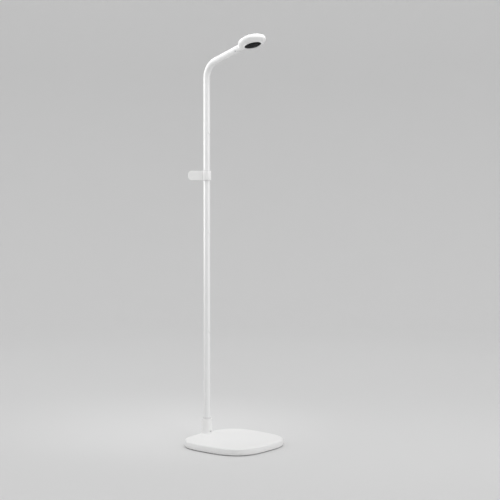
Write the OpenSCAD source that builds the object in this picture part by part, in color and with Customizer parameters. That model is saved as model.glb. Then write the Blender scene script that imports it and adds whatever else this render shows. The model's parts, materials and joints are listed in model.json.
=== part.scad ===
// Floor lamp with a weighted squircle base, a pole of plugged tube sections held by
// snap buttons, a bent top tube, a disc head that tilts, and a clip that slides and
// turns on the pole. Millimetres, +Z up. The origin is the middle of the base's
// underside, the pole stands near the back edge (+Y) and the arm points to the front.

/* [Base] */
// Width of the base, side to side
base_w = 328; // [240:1:420]
// Depth of the base, front to back
base_d = 326; // [240:1:420]
// Squareness of the outline: 2 is an ellipse, larger is squarer
base_power = 3.1; // [2.2:0.1:6]
// How much wider the back is than the middle, as a share
base_taper = 0.035; // [0:0.005:0.15]
// Height of the base's flat top above the floor
base_top = 26; // [24:0.5:34]
// Radius of the rounded top edge
edge_r = 6; // [3:0.5:7]
// Wall of the base cover
cover_wall = 3; // [2:0.5:4]
// Thickness of the rubber pad under the base
pad_h = 2.5; // [1.5:0.5:4]
// Thickness of the bottom plate
bottom_h = 3; // [2.5:0.5:4]
// Height of the cable space under the ballast plate
cable_space = 5.5; // [5:0.5:7]
// Thickness of the steel ballast plate
ballast_h = 7; // [3:0.5:7]
// Distance of the base screws in from the widest points of the outline
screw_inset = 51.5; // [44:0.5:70]
// Radius of the circle of posts that carry the ballast plate
post_ring = 70; // [50:1:90]

/* [Neck] */
// Distance from the base's back edge in to the pole's axis
pole_in = 23; // [21:0.5:90]
// Height of the neck's rim above the floor
neck_top = 86; // [60:1:120]
// Wall of the neck at its rim
neck_wall = 3.2; // [2.5:0.05:6]
// How much wider the neck is at its foot than at its rim
neck_spread = 0.8; // [0:0.1:5]
// Radius of the fillet between neck and base
neck_fillet = 8; // [3:0.5:10]
// Wall of the steel socket in the neck
socket_wall = 2.9; // [2:0.1:3]
// How far the socket ends below the neck's rim
socket_recess = 5; // [2:0.5:10]
// Height of the set screw above the base's top
set_screw_up = 11; // [8:0.5:20]

/* [Pole] */
// Outer diameter of the tubes
tube_od = 25; // [24:0.5:30]
// Wall of the tubes
tube_wall = 1.5; // [1.2:0.1:1.7]
// Height of the lowest seam above the floor
first_seam = 443; // [300:1:520]
// Length of a tube section, seam to seam
section_len = 380; // [250:1:456]
// Wall of the spigots
spigot_wall = 1.6; // [1:0.1:1.7]
// Length of spigot below a seam
spigot_down = 45; // [38:1:70]
// Length of spigot above a seam
spigot_up = 30; // [26:1:50]
// Bevel on the tube ends, which shows as a fine line at a seam
seam_bevel = 0.5; // [0.2:0.1:0.8]

/* [Snap buttons] */
// Distance of a button below its seam
button_drop = 22; // [16:0.5:30]
// Radius of a button's shank
button_r = 4.2; // [3.5:0.1:4.6]
// How far a button stands out of the tube
button_proud = 1.8; // [1.2:0.1:2.5]

/* [Arm] */
// Height of the arm's corner above the top seam
corner_up = 235.5; // [180:0.5:320]
// How steeply the arm rises, as height gained for each unit of its length
arm_slope = 0.28; // [0.05:0.01:0.5]
// Radius of the bend, to the tube's axis
bend_r = 64; // [40:1:93]
// Distance from the corner to the seam on the arm
arm_seam = 75; // [72:0.5:100]
// Length of the reduced end that plugs into the arm tube
arm_plug_in = 46; // [44:1:50]
// Distance from the arm's seam to the release button
arm_button_out = 36; // [30:0.5:37]
// Distance from the corner to the head's tilt pin
pivot_s = 169.5; // [166:0.5:200]
// Distance from the tilt pin to the edge of the head
head_gap = 12; // [12:0.5:20]

/* [Tilt joint] */
// Radius of the rounded ears on the head's fork
ear_r = 11; // [10:0.1:11.2]
// Thickness of the arm's tongue
tongue_w = 8.4; // [6:0.1:9]
// Thickness of one friction washer
washer_h = 0.5; // [0.3:0.1:0.8]
// Radius of the tilt pin
pin_r = 2.5; // [2:0.1:3]

/* [Head] */
// Radius of the disc head
head_r = 52; // [44.5:0.5:65]
// Height of the crown above the parting line
crown_h = 15; // [14:0.5:20]
// Depth of the underside below the parting line
belly_h = 17; // [16.5:0.5:20]
// Wall of the head's shells
head_wall = 2; // [1.5:0.1:2.5]
// Visible radius of the dark window
window_r = 31.5; // [25:0.5:38]
// Thickness of the window
window_h = 2; // [1.5:0.1:2.5]
// How far the window is set back in its trim ring
window_recess = 3; // [0.7:0.1:4]
// Width of the trim ring round the window
trim_w = 4.5; // [4:0.1:5]
// Number of emitters round the lens
emitters_n = 8; // [4:1:10]

/* [Clip] */
// Height of the clip's middle above the middle seam
clip_up = 195.5; // [60:0.5:300]
// Height of the clip's collar and tab
clip_h = 36; // [24:1:40]
// Wall of the collar
collar_wall = 2.2; // [2:0.1:3]
// Distance from the pole's axis to the tab's tip
tab_reach = 71; // [55:1:90]
// Thickness of the tab
tab_w = 5; // [4:0.5:7]
// Angle of the tab from the back of the lamp, towards the left
tab_turn = 46; // [0:1:180]

/* [Fits] */
// Radial clearance of a part that turns or slides on another
run_gap = 0.05; // [0.03:0.01:0.08]
// Clearance between parts that are only put together
free_gap = 0.15; // [0.1:0.05:0.2]
// Clearance between a moving part and what it passes
move_gap = 0.3; // [0.25:0.05:0.35]

/* [Hidden] */
$fn = 72;
eps = 0.01;

// Colours
white_plastic = [0.93, 0.93, 0.92];
white_paint = [0.90, 0.90, 0.90];
steel = [0.62, 0.63, 0.65];
rubber = [0.16, 0.16, 0.17];
dark = [0.05, 0.05, 0.06];

// Base
outline_n = 72;                              // points round the squircle
bottom_z = pad_h;
plate_top = bottom_z + bottom_h;
ballast_z = plate_top + cable_space;
ballast_top = ballast_z + ballast_h;
ceiling_z = base_top - cover_wall;
pad_inset = 8;
rim_inset = 1.2;                             // how far the cover's bottom edge draws in
boss_r = 5;
thread_r = 1.5;
screw_head_r = 3.2;
screw_head_h = 1.6;
post_r = 6;
screw_x = base_w / 2 - screw_inset;
screw_y = base_d / 2 - screw_inset;

// Tubes
tube_r = tube_od / 2;
tube_ri = tube_r - tube_wall;
spigot_ri = tube_ri - spigot_wall;
seams = [for (i = [0:2]) first_seam + i * section_len];
pole_y = base_d / 2 - pole_in;

// Neck and socket
socket_ri = tube_r + run_gap;
socket_r = socket_ri + socket_wall;
neck_bore = socket_r + 0.6;
neck_r_top = neck_bore + neck_wall;
neck_r_foot = neck_r_top + neck_spread;
socket_foot_r = socket_r + 3;
socket_foot_h = 3;
tube_foot_z = ballast_top + socket_foot_h;
set_screw_z = base_top + set_screw_up;
set_screw_r = 2.5;
hex_r = 1.25;                                // socket for the hexagon key

// Cable held inside the lamp all the way
cable_r = 2.2;
cable_x = 6.2;
cable_z = plate_top + cable_space / 2;
cable_bend = 8;
gland_x = 46;
gland_r = 4;
gland_len = 8.5;
gland_bore = cable_r + 0.1;
gland_lip_r = gland_r + 0.9;
gland_out = outline_y(gland_x, 0);
gland_seat = gland_out - outline_y(gland_x + gland_lip_r, cover_wall) + 0.1;
bay = 8;                                     // half-width of the room round the gland

// Buttons: distances are measured from the tube's axis, outwards
button_hole_r = button_r + move_gap - 0.1;
flange_r = button_r + 1.2;
flange_h = 1;
flange_u = sqrt(pow(spigot_ri, 2) - pow(flange_r, 2)) - flange_h - 0.25;
spring_t = 0.6;
spring_w = 6.8;
spring_front = flange_u - run_gap;
spring_back = sqrt(pow(spigot_ri, 2) - pow(spring_w / 2, 2)) - 0.1;
spring_leg = 20;

// Arm, measured from its corner
corner_z = seams[2] + corner_up;
arm_rise = asin(arm_slope);
bend_turn = 90 - arm_rise;
bend_tangent = bend_r * tan(bend_turn / 2);
arm_button_s = arm_seam + arm_button_out;
swage_r = tube_ri - free_gap;
swage_ri = swage_r - spigot_wall + free_gap;
horn = 5.5;                                  // how far the tube's end stops before the pin
tongue_end_r = min(ear_r - 0.9, sqrt(pow(tube_ri - 0.1, 2) - pow(tongue_w / 2, 2)));
slot_r = tongue_end_r + 1.4;                 // the fork's slot, which the tongue swings in
saddle_r = ear_r + 0.4;
tongue_root_s = arm_seam + arm_plug_in + 10;
tongue_screw_s = pivot_s - 13.5;
tongue_screw_turn = 40;                      // degrees below the left side
fork_gap = tongue_w / 2 + washer_h + move_gap;

// Head
head_out = head_r + head_gap;
parting_z = 1;
parting_gap = 0.15;                          // the fine groove between the two shells
rim_draw = 0.4;                              // how far the shells draw in at the groove
crown_power = 2.2;
belly_power = 2.8;
profile_n = 12;                              // steps in each quarter profile
fork_tenon_r = 8;
trim_r = window_r + trim_w;
trim_face = parting_z - belly_h - 0.8;
window_seat_r = window_r + 2;
window_face = trim_face + window_recess;
window_back = window_face + window_h;
trim_back = window_back + 0.9;
gasket_h = 0.8;
ledge_z = trim_back;
ledge_h = 1.6;
boss_ring = head_r - 12.5;                   // radius of the circle of the head's posts
boss_turns = [30, 150, 270];
head_post_r = 3.2;
boss_foot = boss_ring - head_post_r > trim_r     // clear of the ring, they stand on the shell
    ? parting_z - belly_depth(boss_ring + head_post_r) + 0.15
    : ledge_z + 1.2;
head_thread_r = 1.2;
barrel_r = 8.5;
lens_r = 5.9;
sink_r = boss_ring - 5;
sink_z = 0.5;
sink_h = 2;
fin_pitch = (sink_r - 1) / 5;
fin_h = 3;
board_r = sink_r - 8;
board_z = -9;
board_h = 1.6;
emitter_ring = (barrel_r + board_r) / 2;
driver_z = 7.5;
driver_r = sink_r - 10;
driver_h = 1.4;

// Clip
clip_z = seams[1] + clip_up;
bush_ri = tube_r + run_gap;
bush_r = bush_ri + 1.6;
bush_lip = 1;
collar_ri = bush_r + run_gap;
collar_r = collar_ri + collar_wall;
tip_r = clip_h * 0.38;
rivet_in = 15;                               // from the tab's tip
rivet_up = 4.3;                              // above the tab's middle
rivet_r = 1.6;
rivet_head_r = 3.4;
dimple_r = 4.8;
dimple_deep = 0.8;

function signed_power(v, p) = sign(v) * pow(abs(v), p);

// The base's outline, drawn in by inset
function squircle(inset) = [
    for (i = [0:outline_n - 1])
        let (
            a = 360 * i / outline_n,
            hx = base_w / 2 - inset,
            hy = base_d / 2 - inset,
            x = hx * signed_power(cos(a), 2 / base_power),
            y = hy * signed_power(sin(a), 2 / base_power)
        )
        [x * (1 + base_taper * y / (base_d / 2)), y]
];

// The outline's back edge at a distance from the middle, without the taper
function outline_y(x, inset) =
    (base_d / 2 - inset) * pow(1 - pow(x / (base_w / 2 - inset), base_power), 1 / base_power);

// A quarter superellipse from [r, 0] to [0, h]
function quarter(r, h, p) = [
    for (i = [0:profile_n])
        let (a = 90 * i / profile_n)
        [r * pow(cos(a), 2 / p), h * pow(sin(a), 2 / p)]
];
function belly_depth(r) = belly_h * pow(1 - pow(r / head_r, belly_power), 1 / belly_power);
function lifted(points, z) = [for (p = points) [p.x, p.y + z]];
function dropped(points, z) = [for (p = points) [p.x, z - p.y]];
function reversed(points) = [for (i = [len(points) - 1:-1:0]) points[i]];

// A closed solid through squircle outlines; levels are [height, inset]
module loft(levels) {
    n = outline_n;
    last = (len(levels) - 1) * n;
    points = [for (l = levels) for (p = squircle(l[1])) [p.x, p.y, l[0]]];
    sides = [
        for (k = [0:len(levels) - 2])
            for (i = [0:n - 1])
                let (a = k * n + i, b = k * n + (i + 1) % n)
                for (t = [[a, a + n, b + n], [a, b + n, b]]) t
    ];
    caps = [[for (i = [0:n - 1]) i], [for (i = [n - 1:-1:0]) last + i]];
    polyhedron(points, concat(sides, caps), convexity = 4);
}

module on_pole(z = 0) {
    translate([0, pole_y, z]) children();
}

// z runs out along the arm from its corner, and -y is the arm's underside
module on_arm(s = 0) {
    translate([0, pole_y, corner_z])
        rotate([90 - arm_rise, 0, 0])
            translate([0, 0, s])
                children();
}

// z is the head's upward normal and +y points back to the arm
module on_head() {
    on_arm(pivot_s + head_out) rotate([-90, 0, 0]) children();
}

module bevelled_tube(r, ri, z0, z1, bevel) {
    rotate_extrude()
        polygon([
            [ri, z0], [r - bevel, z0], [r, z0 + bevel],
            [r, z1 - bevel], [r - bevel, z1], [ri, z1],
        ]);
}

// Anything round that points to the front, from distance u0 to u1 from the axis
module front_rod(r, u0, u1) {
    rotate([90, 0, 0]) translate([0, 0, u0]) cylinder(r = r, h = u1 - u0);
}

module screw_places() {
    for (x = [-1, 1]) for (y = [-1, 1])
        translate([x * screw_x, y * screw_y, 0]) children();
}

module post_places() {
    for (a = [0:60:300]) rotate(a) translate([post_ring, 0, 0]) children();
}

// ---- Base ----

module neck_solid() {
    foot = neck_r_foot + neck_fillet;
    top_round = 1.5;
    flare = [
        for (a = [90:-15:0])
            [foot - neck_fillet * cos(a), base_top + neck_fillet - neck_fillet * sin(a)]
    ];
    rim = [
        for (a = [0:30:90])
            [neck_r_top - top_round + top_round * cos(a), neck_top - top_round + top_round * sin(a)]
    ];
    rotate_extrude()
        polygon(concat([[0, ceiling_z], [foot, ceiling_z]], flare, rim, [[0, neck_top]]));
}

module base_cover() {
    round_steps = 4;
    rise = [
        for (i = [0:round_steps])
            let (a = 90 * i / round_steps)
            [base_top - edge_r + edge_r * sin(a), edge_r * (1 - cos(a))]
    ];
    color(white_plastic) {
        difference() {
            union() {
                loft(concat([[bottom_z, rim_inset], [bottom_z + rim_inset, 0]], rise));
                intersection() {
                    on_pole() neck_solid();
                    linear_extrude(neck_top + 1) polygon(squircle(0.8));
                }
            }
            translate([0, 0, bottom_z - 1])
                linear_extrude(base_top - edge_r - bottom_z + 1) polygon(squircle(cover_wall));
            translate([0, 0, bottom_z])
                linear_extrude(ceiling_z - bottom_z) polygon(squircle(edge_r + 1));
            on_pole() cylinder(r = neck_bore, h = neck_top + 1);
            on_pole() cylinder(r = socket_foot_r + free_gap, h = tube_foot_z + free_gap);
            on_pole(set_screw_z) front_rod(set_screw_r + 0.7, neck_bore - 2, neck_r_foot + 9);
            translate([gland_x, 0, cable_z])
                rotate([-90, 0, 0]) cylinder(r = gland_r + 0.05, h = base_d);
        }
        screw_places() difference() {
            translate([0, 0, plate_top]) cylinder(r = boss_r, h = ceiling_z - plate_top + eps);
            translate([0, 0, plate_top - 1]) cylinder(r = thread_r, h = ballast_top - plate_top);
        }
    }
}

module base_pad() {
    color(rubber) linear_extrude(pad_h) polygon(squircle(pad_inset));
}

module gland_bay(z0, z1) {
    translate([gland_x - bay, gland_out - 2 * bay, z0]) cube([2 * bay, 3 * bay, z1 - z0]);
}

module bottom_plate() {
    color(dark) difference() {
        union() {
            translate([0, 0, bottom_z])
                linear_extrude(bottom_h) polygon(squircle(cover_wall + free_gap));
            post_places() translate([0, 0, plate_top - eps]) cylinder(r = post_r, h = cable_space + eps);
        }
        screw_places() {
            translate([0, 0, bottom_z - 1]) cylinder(r = thread_r + 0.3, h = bottom_h + 2);
            translate([0, 0, bottom_z - 1]) cylinder(r = screw_head_r + 0.2, h = 1 + screw_head_h);
        }
        gland_bay(bottom_z - 1, plate_top + 1);
    }
}

module ballast_plate() {
    color(steel) difference() {
        translate([0, 0, ballast_z]) linear_extrude(ballast_h) polygon(squircle(edge_r + 2));
        screw_places() translate([0, 0, ballast_z - 1]) cylinder(r = boss_r + 1, h = ballast_h + 2);
        on_pole(ballast_z - 1) cylinder(r = cable_x + cable_bend - 1, h = ballast_h + 2);
        gland_bay(ballast_z - 1, ballast_top + 1);
    }
}

module base_screws() {
    point = ballast_top - 3;
    color(steel) screw_places() {
        translate([0, 0, bottom_z]) cylinder(r = screw_head_r, h = screw_head_h);
        translate([0, 0, bottom_z]) cylinder(r = thread_r, h = point - bottom_z);
    }
}

module pole_socket() {
    top = neck_top - socket_recess;
    color(steel) on_pole() difference() {
        rotate_extrude()
            polygon([
                [cable_x + cable_r + 2, ballast_top], [socket_foot_r, ballast_top],
                [socket_foot_r, tube_foot_z], [socket_r, tube_foot_z], [socket_r, top],
                [socket_ri, top], [socket_ri, tube_foot_z], [cable_x + cable_r + 2, tube_foot_z],
            ]);
        translate([0, 0, set_screw_z]) front_rod(set_screw_r, 0, socket_r + 1);
    }
}

module set_screw() {
    color(steel) on_pole(set_screw_z) difference() {
        front_rod(set_screw_r, tube_r, socket_r + 2);
        rotate([90, 0, 0]) translate([0, 0, socket_r - 1]) cylinder(r = hex_r, h = 4, $fn = 6);
    }
}

module cord_gland() {
    color(dark)
        translate([gland_x, gland_out, cable_z])
            rotate([90, 0, 0])
                difference() {
                    union() {
                        cylinder(r = gland_r, h = gland_len);
                        translate([0, 0, gland_seat]) cylinder(r = gland_lip_r, h = 1.2);
                    }
                    translate([0, 0, -1]) cylinder(r = gland_bore, h = gland_len + 2);
                }
}

module inner_cable() {
    gland_end = gland_out - gland_len;
    turn_y = pole_y;
    run_x0 = cable_x + cable_bend;
    run_x1 = gland_x - cable_bend;
    arm_end = tongue_root_s - 2;
    color(dark) {
        // from the gland to the foot of the pole
        translate([gland_x, turn_y + cable_bend, cable_z])
            rotate([-90, 0, 0]) cylinder(r = cable_r, h = gland_end - turn_y - cable_bend - 0.1);
        translate([run_x1, turn_y + cable_bend, cable_z])
            rotate([0, 0, -90]) rotate_extrude(angle = 90) translate([cable_bend, 0]) circle(cable_r);
        translate([run_x0, turn_y, cable_z])
            rotate([0, 90, 0]) cylinder(r = cable_r, h = run_x1 - run_x0);
        translate([run_x0, turn_y, cable_z + cable_bend])
            rotate([90, 0, 0]) rotate([0, 0, 180])
                rotate_extrude(angle = 90) translate([cable_bend, 0]) circle(cable_r);
        // up the pole, round the bend and along the arm
        translate([cable_x, turn_y, cable_z + cable_bend])
            cylinder(r = cable_r, h = corner_z - bend_tangent - cable_z - cable_bend);
        translate([cable_x, 0, 0]) bend() circle(cable_r);
        translate([cable_x, 0, 0]) on_arm(bend_tangent)
            cylinder(r = cable_r, h = arm_end - bend_tangent);
    }
}

// ---- Pole ----

// Sweeps a section drawn about the tube's axis round the bend at the top of the pole
module bend() {
    over = 3;                                // degrees swept too far, then cut off square
    difference() {
        on_pole(corner_z - bend_tangent)
            translate([0, -bend_r, 0])
                rotate([90, 0, 90])
                    rotate_extrude(angle = bend_turn + over) translate([bend_r, 0]) children();
        on_arm(bend_tangent) cylinder(r = tube_od, h = tube_od);
    }
}

module pole_tube(z0, z1) {
    color(white_paint) on_pole() difference() {
        bevelled_tube(tube_r, tube_ri, z0, z1, seam_bevel);
        translate([0, 0, z1 - button_drop]) front_rod(button_hole_r, 0, tube_r + 1);
    }
}

module lower_tube() { pole_tube(tube_foot_z, seams[0]); }
module middle_tube() { pole_tube(seams[0], seams[1]); }
module upper_tube() { pole_tube(seams[1], seams[2]); }

module bent_tube() {
    plug_end = arm_seam + arm_plug_in;
    straight = corner_z - bend_tangent;
    swage = 2;                               // length over which the tube is drawn down
    color(white_paint) difference() {
        union() {
            on_pole() rotate_extrude()
                polygon([
                    [tube_ri, seams[2]], [tube_r - seam_bevel, seams[2]],
                    [tube_r, seams[2] + seam_bevel], [tube_r, straight], [tube_ri, straight],
                ]);
            bend() difference() {
                circle(tube_r);
                circle(tube_ri);
            }
            on_arm() rotate_extrude()
                polygon([
                    [tube_ri, bend_tangent], [tube_r, bend_tangent],
                    [tube_r, arm_seam - seam_bevel], [tube_r - seam_bevel, arm_seam],
                    [swage_r, arm_seam], [swage_r, plug_end - 1], [swage_r - 0.6, plug_end],
                    [swage_ri, plug_end], [swage_ri, arm_seam],
                    [tube_ri, max(bend_tangent + eps, arm_seam - swage)],
                ]);
        }
        on_arm(arm_button_s) front_rod(button_hole_r, 0, tube_r + 1);
    }
}

module spigot(seam) {
    color(steel) on_pole(seam) difference() {
        rotate_extrude()
            polygon([
                [spigot_ri, -spigot_down], [tube_ri - free_gap - 0.6, -spigot_down],
                [tube_ri - free_gap, 1 - spigot_down], [tube_ri - free_gap, 0],
                [tube_ri, 0], [tube_ri, spigot_up], [spigot_ri, spigot_up],
            ]);
        translate([0, 0, -button_drop]) front_rod(button_hole_r, 0, tube_r);
    }
}

module lower_spigot() { spigot(seams[0]); }
module middle_spigot() { spigot(seams[1]); }
module upper_spigot() { spigot(seams[2]); }

// ---- Snap buttons ----

module snap_button() {
    top = tube_r + button_proud;
    dome = 1.6;
    cap = [
        for (a = [0:22.5:90])
            [button_r - dome + dome * cos(a), top - dome + dome * sin(a)]
    ];
    color(white_plastic) rotate([90, 0, 0]) rotate_extrude()
        polygon(concat(
            [
                [0, flange_u], [flange_r, flange_u], [flange_r, flange_u + flange_h],
                [button_r, flange_u + flange_h],
            ],
            cap,
            [[0, top]]
        ));
}

// A leaf bent like a hairpin: the button rides on the front leg
module snap_spring() {
    bow = (spring_front + spring_back) / 2;
    middle = (spring_front - spring_back) / 2;
    color(steel)
        translate([-spring_w / 2, 0, 0])
            rotate([90, 0, 90])
                linear_extrude(spring_w) {
                    translate([-spring_front, -flange_r]) square([spring_t, spring_leg + flange_r]);
                    translate([spring_back - spring_t, 0]) square([spring_t, spring_leg]);
                    translate([-middle, spring_leg]) intersection() {
                        difference() {
                            circle(bow);
                            circle(bow - spring_t);
                        }
                        translate([-bow, 0]) square([2 * bow, bow]);
                    }
                }
}

module lower_button() { on_pole(seams[0] - button_drop) snap_button(); }
module middle_button() { on_pole(seams[1] - button_drop) snap_button(); }
module upper_button() { on_pole(seams[2] - button_drop) snap_button(); }
module arm_button() { on_arm(arm_button_s) snap_button(); }
module lower_spring() { on_pole(seams[0] - button_drop) snap_spring(); }
module middle_spring() { on_pole(seams[1] - button_drop) snap_spring(); }
module upper_spring() { on_pole(seams[2] - button_drop) snap_spring(); }
module arm_spring() { on_arm(arm_button_s) mirror([0, 0, 1]) snap_spring(); }

// ---- Arm ----

module across(r, s) {
    translate([-tube_od, 0, s]) rotate([0, 90, 0]) cylinder(r = r, h = 2 * tube_od);
}

module tongue_screw_rod(r, u0, u1) {
    translate([0, 0, tongue_screw_s])
        rotate([0, 0, tongue_screw_turn - 90])
            front_rod(r, u0, u1);
}

module arm_tube() {
    color(white_paint) on_arm() difference() {
        bevelled_tube(tube_r, tube_ri, arm_seam, pivot_s - horn, seam_bevel);
        translate([0, 0, arm_button_s]) front_rod(button_hole_r, 0, tube_r + 1);
        across(saddle_r, pivot_s);
        tongue_screw_rod(set_screw_r, 0, tube_r + 1);
    }
}

module arm_tongue() {
    color(white_paint) on_arm() difference() {
        union() {
            difference() {
                translate([0, 0, tongue_root_s])
                    cylinder(r = tube_ri - run_gap, h = pivot_s - horn - 1 - tongue_root_s);
                across(saddle_r, pivot_s);
            }
            intersection() {
                translate([-tongue_w / 2, -tongue_end_r, tongue_root_s + 1])
                    cube([tongue_w, 2 * tongue_end_r, pivot_s - tongue_root_s + tube_r]);
                union() {
                    across(tongue_end_r, pivot_s);
                    translate([-tube_r, -tube_r, tongue_root_s])
                        cube([tube_od, tube_od, pivot_s - tongue_root_s]);
                }
            }
        }
        across(pin_r + run_gap, pivot_s);
        tongue_screw_rod(set_screw_r, tube_ri - 4, tube_r + 1);
    }
}

module tongue_screw() {
    color(steel) on_arm() difference() {
        tongue_screw_rod(set_screw_r, tube_ri - 4, tube_r - 0.8);
        translate([0, 0, tongue_screw_s])
            rotate([0, 0, tongue_screw_turn - 90])
                rotate([90, 0, 0])
                    translate([0, 0, tube_r - 3]) cylinder(r = hex_r, h = 4, $fn = 6);
    }
}

module tilt_washers() {
    color(steel) on_arm(pivot_s) for (side = [0, 1]) mirror([side, 0, 0])
        translate([tongue_w / 2, 0, 0]) rotate([0, 90, 0]) difference() {
            cylinder(r = tongue_end_r - 0.5, h = washer_h);
            translate([0, 0, -1]) cylinder(r = pin_r + run_gap, h = washer_h + 2);
        }
}

module tilt_pin() {
    half = sqrt(pow(tube_r, 2) - pow(pin_r, 2)) - 1;
    color(steel) on_arm(pivot_s)
        translate([-half, 0, 0]) rotate([0, 90, 0]) cylinder(r = pin_r, h = 2 * half);
}

// ---- Head ----

module head_solid(grow = 0) {
    rotate_extrude()
        polygon(concat(
            dropped(reversed(quarter(head_r + grow, belly_h + grow, belly_power)), parting_z),
            lifted(quarter(head_r + grow, crown_h + grow, crown_power), parting_z)
        ));
}

module boss_places() {
    for (a = boss_turns) rotate(a) translate([boss_ring, 0, 0]) children();
}

module fork_opening(gap) {
    rotate([-90, 0, 0]) cylinder(r = fork_tenon_r + gap, h = head_r + 10);
}

module head_fork() {
    tenon_in = 15;
    flange_in = 12;
    color(white_plastic) difference() {
        union() {
            difference() {
                on_arm() intersection() {
                    translate([0, 0, pivot_s - ear_r]) cylinder(r = tube_r - 0.1, h = head_out - 20);
                    union() {
                        across(ear_r, pivot_s);
                        translate([-tube_r, -ear_r, pivot_s]) cube([tube_od, 2 * ear_r, head_out]);
                    }
                }
                on_head() head_solid(free_gap + 0.1);
            }
            on_head() translate([0, head_r - tenon_in, 0])
                rotate([-90, 0, 0]) cylinder(r = fork_tenon_r, h = tenon_in + 6);
            on_head() translate([0, head_r - flange_in, 0])
                rotate([-90, 0, 0]) cylinder(r = fork_tenon_r + 1.8, h = 2);
        }
        on_arm() intersection() {
            across(slot_r, pivot_s);
            translate([-fork_gap, -tube_r, 0]) cube([2 * fork_gap, tube_od, pivot_s + head_out]);
        }
        on_arm() across(pin_r, pivot_s);
        on_arm(pivot_s) cylinder(r = cable_r, h = head_out);
    }
}

module head_crown() {
    outer = lifted(quarter(head_r, crown_h, crown_power), parting_z);
    inner = lifted(quarter(head_r - head_wall, crown_h - head_wall, crown_power), parting_z);
    color(white_plastic) on_head() difference() {
        rotate_extrude()
            polygon(concat(
                [[head_r - rim_draw, parting_z]], lifted(outer, parting_gap), reversed(inner)
            ));
        fork_opening(run_gap);
    }
}

module head_belly() {
    clear_r = trim_r + 1.5;
    foot = parting_z - belly_depth(trim_r);
    outer = [
        for (p = dropped(quarter(head_r, belly_h, belly_power), parting_z))
            if (p.x > clear_r) p
    ];
    inner = [
        for (p = dropped(quarter(head_r - head_wall, belly_h - head_wall, belly_power), parting_z))
            if (p.x > clear_r) p
    ];
    color(white_plastic) on_head() {
        difference() {
            rotate_extrude()
                polygon(concat(
                    [[head_r - rim_draw, parting_z]],
                    lifted(outer, -parting_gap),
                    [
                        [trim_r + free_gap, foot - parting_gap], [trim_r + free_gap, ledge_z],
                        [window_r - 0.5, ledge_z], [window_r - 0.5, ledge_z + ledge_h],
                        [clear_r, ledge_z + ledge_h],
                    ],
                    reversed(inner)
                ));
            fork_opening(run_gap);
        }
        boss_places() difference() {
            translate([0, 0, boss_foot]) cylinder(r = head_post_r, h = sink_z - boss_foot);
            translate([0, 0, sink_z - 8.5]) cylinder(r = head_thread_r, h = 9);
        }
    }
}

module window_trim() {
    color(white_plastic) on_head() rotate_extrude()
        polygon([
            [window_r, trim_face + 0.25], [window_r + 0.25, trim_face],
            [trim_r - 0.8, trim_face], [trim_r, trim_face + 0.8], [trim_r, trim_back],
            [window_seat_r + 0.1, trim_back], [window_seat_r + 0.1, window_face],
            [window_r, window_face],
        ]);
}

module window() {
    color(dark) on_head() translate([0, 0, window_face])
        cylinder(r = window_seat_r, h = window_h);
}

module window_gasket() {
    color(rubber) on_head() translate([0, 0, window_back]) difference() {
        cylinder(r = window_seat_r, h = gasket_h);
        translate([0, 0, -1]) cylinder(r = window_r - 0.4, h = gasket_h + 2);
    }
}

module lens_barrel() {
    front = window_back + 0.8;
    color(dark) on_head() rotate_extrude()
        polygon([
            [lens_r + 0.1, front], [barrel_r - 0.6, front], [barrel_r, front + 0.6],
            [barrel_r, -2], [lens_r - 0.9, -2], [lens_r - 0.9, front + 4],
            [lens_r + 0.1, front + 3],
        ]);
}

module lens() {
    front = window_back + 1.2;
    color([0.2, 0.22, 0.3]) on_head() rotate_extrude()
        polygon(concat(
            [[0, front + 3.2], [0, front]],
            [for (a = [15:15:75]) [lens_r * sin(a), front + 1.6 * (1 - cos(a))]],
            [[lens_r, front + 1.6], [lens_r, front + 2.5], [lens_r - 0.9, front + 3.2]]
        ));
}

module emitter_board() {
    color([0.05, 0.12, 0.08]) on_head() translate([0, 0, board_z]) difference() {
        cylinder(r = board_r, h = board_h);
        translate([0, 0, -1]) cylinder(r = barrel_r + free_gap, h = board_h + 2);
    }
}

module emitters() {
    size = 3.6;
    high = 1.4;
    color([0.75, 0.72, 0.5]) on_head() for (i = [0:emitters_n - 1])
        rotate(360 * i / emitters_n) translate([emitter_ring, 0, board_z - high]) {
            translate([-size / 2, -size / 2, 0.5]) cube([size, size, high - 0.5]);
            cylinder(r = size / 2 - 0.4, h = high);
        }
}

module heat_sink() {
    wall = 3;
    arm_w = 7;
    color([0.75, 0.76, 0.78]) on_head() {
        difference() {
            union() {
                translate([0, 0, sink_z]) cylinder(r = sink_r, h = sink_h);
                for (a = boss_turns) rotate(a)
                    translate([sink_r - 4, -arm_w / 2, sink_z])
                        cube([boss_ring + 3 - sink_r + 4, arm_w, sink_h]);
                translate([0, 0, board_z + board_h]) difference() {
                    cylinder(r = board_r, h = sink_z - board_z - board_h + 1);
                    translate([0, 0, -1])
                        cylinder(r = board_r - wall, h = sink_z - board_z + 2);
                }
            }
            boss_places() translate([0, 0, sink_z - 1])
                cylinder(r = head_thread_r + 0.2, h = sink_h + 2);
        }
        for (i = [-3:3]) {
            x = i * fin_pitch;
            half = sqrt(pow(sink_r - 6, 2) - pow(x, 2));
            translate([x - 0.6, -half, sink_z + sink_h - eps]) cube([1.2, 2 * half, fin_h]);
        }
    }
}

module driver_board() {
    fins_top = sink_z + sink_h + fin_h - eps;
    board_top = driver_z + driver_h - eps;
    color([0.05, 0.12, 0.08]) on_head() {
        translate([0, 0, driver_z]) cylinder(r = driver_r, h = driver_h);
        translate([-9, -12, board_top]) cube([12, 9, 2.6]);
        translate([5, 2, board_top]) cube([8, 8, 2]);
        translate([-12, 6, board_top]) cylinder(r = 3, h = 3);
        for (x = [-2, 2] * fin_pitch)
            translate([x, 0, fins_top]) cylinder(r = 2, h = driver_z - fins_top + eps);
    }
}

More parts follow.
